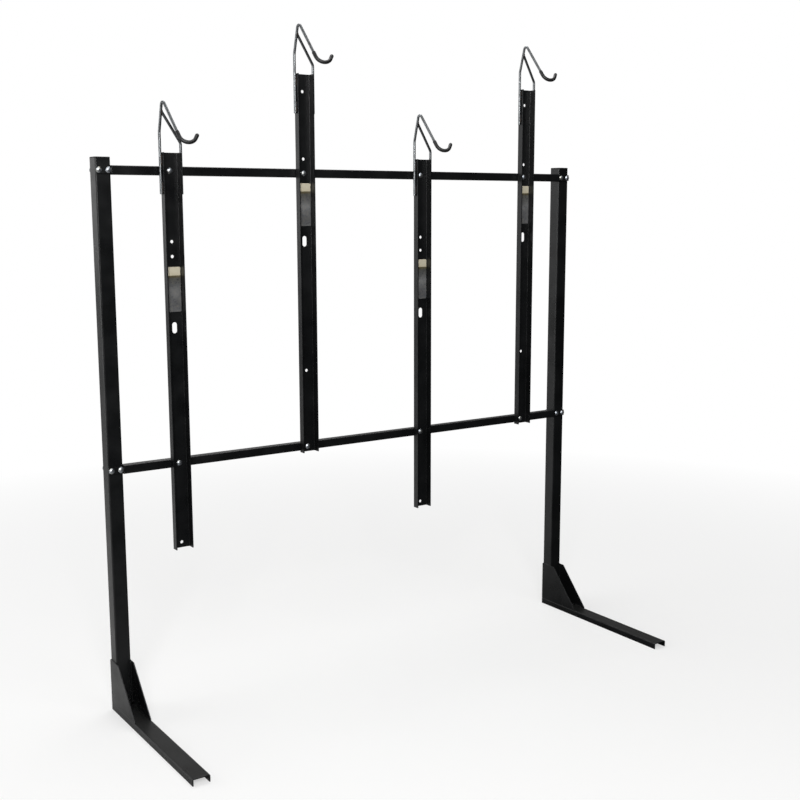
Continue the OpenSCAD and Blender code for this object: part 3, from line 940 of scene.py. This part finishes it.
# pale floor and soft studio light; the front right, which the fronts mirror, stays dark through painted
# shade in the floor's colour, which only the object's rays see
studio = {
    "floorHalf": 40.0,
    "floor": "#fcfcfb",
    # painted shade: the floor's colour as the object's rays see it, dark at the front right and paler at
    # the back left; the camera sees the floor white
    "shadedFloorPaint": "#3c3c3c",
    "litFloorPaint": "#c4c4c3",
    "bright": (-0.56, 0.83, 0.0),  # towards the pale side
    # how the floor changes, by metres from the middle and by metres towards the pale side, where its
    # painted shade lifts
    "floorGlow": {"From Min": 0.9, "From Max": 3.6, "To Min": 0.5, "To Max": 1},
    "floorShadePaintGrade": {"From Min": -0.4, "From Max": 1.2},
    "floorMirrored": {"From Min": -0.4, "From Max": 1.2, "To Min": 0, "To Max": 0.15},
    # how the world changes, by its direction towards the pale side and by its height over the horizon
    "worldLight": {"From Min": -0.3, "From Max": 0.85, "To Min": 0.05, "To Max": 0.95},
    "worldMirrored": {"From Min": 0.3, "From Max": 0.9},
    "worldHigh": {"From Min": 0.05, "From Max": 0.36, "To Min": 1, "To Max": 0.2},
    "lamps": {
        "keySoftbox": {"place": (-2.6, -3.9, 3.0), "aim": (0, 0.2, 1.0), "size": 1.8, "watts": 192},
        "highSoftbox": {"place": (0.4, -2.4, 4.6), "aim": (0, 0.2, 1.0), "size": 2.0, "watts": 28},
        "leftSoftbox": {"place": (-3.2, 1.5, 1.2), "aim": (-0.6, 0.1, 0.6), "size": 1.8, "watts": 22},
        "topSoftbox": {"place": (0.3, 1.2, 4.2), "aim": (0, 0, 0), "size": 2.6, "watts": 80},
    },
}


def shownTo(tree, share):
    # the white background: seen whole by the camera, and in its share by mirrored and transmitted rays
    rays = addNode(tree, "LightPath").outputs
    other = addNode(tree, "Math", {"operation": "ADD"},
                    {0: rays["Is Glossy Ray"], 1: rays["Is Transmission Ray"]})
    other = addNode(tree, "Math", {"operation": "MULTIPLY"}, {0: other, 1: share})
    return addNode(tree, "Math", {"operation": "ADD", "use_clamp": True},
                   {0: rays["Is Camera Ray"], 1: other})


def makeFloor(spec):
    bm = bmesh.new()
    bmesh.ops.create_grid(bm, x_segments=1, y_segments=1, size=spec["floorHalf"])
    mesh = bpy.data.meshes.new("floor")
    bm.to_mesh(mesh)
    bm.free()
    floor = bpy.data.objects.new("floor", mesh)
    scene.collection.objects.link(floor)
    material, tree, coords = startMaterial("paleStudioFloor")
    away = addNode(tree, "VectorMath", {"operation": "LENGTH"}, {0: coords})
    fade = addNode(tree, "MapRange", spec["floorGlow"], {"Value": away})
    # painted shade: the object is lit by, and mirrors, a floor whose colour, for all but camera rays, is
    # shaded dark at the front right and paler at the back left, standing in for a dark room; the camera
    # sees it white
    towards = addNode(tree, "VectorMath", {"operation": "DOT_PRODUCT", 1: spec["bright"]}, {0: coords})
    pale = addNode(tree, "MapRange", spec["floorShadePaintGrade"], {"Value": towards})
    floorWithShadePaint = addNode(tree, "Mix", {"data_type": "RGBA", "A": spec["shadedFloorPaint"], "B": spec["litFloorPaint"]},
                     {"Factor": pale})
    seen = shownTo(tree, addNode(tree, "MapRange", spec["floorMirrored"], {"Value": towards}))
    colour = addNode(tree, "Mix", {"data_type": "RGBA", "B": spec["floor"]},
                     {"Factor": seen, "A": floorWithShadePaint})
    matt = addNode(tree, "BsdfDiffuse", links={"Color": colour})
    glow = addNode(tree, "Emission", {"Color": "#ffffff", "Strength": 1.0})
    glowing = addNode(tree, "Math", {"operation": "MULTIPLY"}, {0: seen, 1: fade})
    blend = addNode(tree, "MixShader", links={0: glowing, 1: matt, 2: glow})
    addNode(tree, "OutputMaterial", links={"Surface": blend})
    mesh.materials.append(material)


def makeWorld(spec):
    world = bpy.data.worlds.new("studioWorld")
    scene.world = world
    world.use_nodes = True
    tree = world.node_tree
    tree.nodes.clear()
    direction = addNode(tree, "TexCoord").outputs["Generated"]
    towards = addNode(tree, "VectorMath", {"operation": "DOT_PRODUCT", 1: spec["bright"]}, {0: direction})
    high = addNode(tree, "SeparateXYZ", links={"Vector": direction}).outputs["Z"]
    lower = addNode(tree, "MapRange", spec["worldHigh"], {"Value": high})
    level = addNode(tree, "MapRange", spec["worldLight"], {"Value": towards})
    level = addNode(tree, "Math", {"operation": "MULTIPLY"}, {0: level, 1: lower})
    share = addNode(tree, "MapRange", spec["worldMirrored"], {"Value": towards})
    share = addNode(tree, "Math", {"operation": "MULTIPLY"}, {0: share, 1: lower})
    light = addNode(tree, "Background", {"Color": "#ffffff"}, {"Strength": level})
    white = addNode(tree, "Background", {"Color": "#ffffff", "Strength": 1.0})
    blend = addNode(tree, "MixShader", links={0: shownTo(tree, share), 1: light, 2: white})
    addNode(tree, "OutputWorld", links={"Surface": blend})


def makeLamp(name, spec):
    data = bpy.data.lights.new(name, "AREA")
    data.shape = "SQUARE"
    data.size = spec["size"]
    data.energy = spec["watts"]
    lamp = bpy.data.objects.new(name, data)
    lamp.location = spec["place"]
    aim = Vector(spec["aim"]) - Vector(spec["place"])
    lamp.rotation_euler = aim.to_track_quat("-Z", "Y").to_euler()
    lamp.visible_camera = False
    scene.collection.objects.link(lamp)


makeFloor(studio)
makeWorld(studio)
for lampName, lampSpec in studio["lamps"].items():
    makeLamp(lampName, lampSpec)
print("floor and lights set")
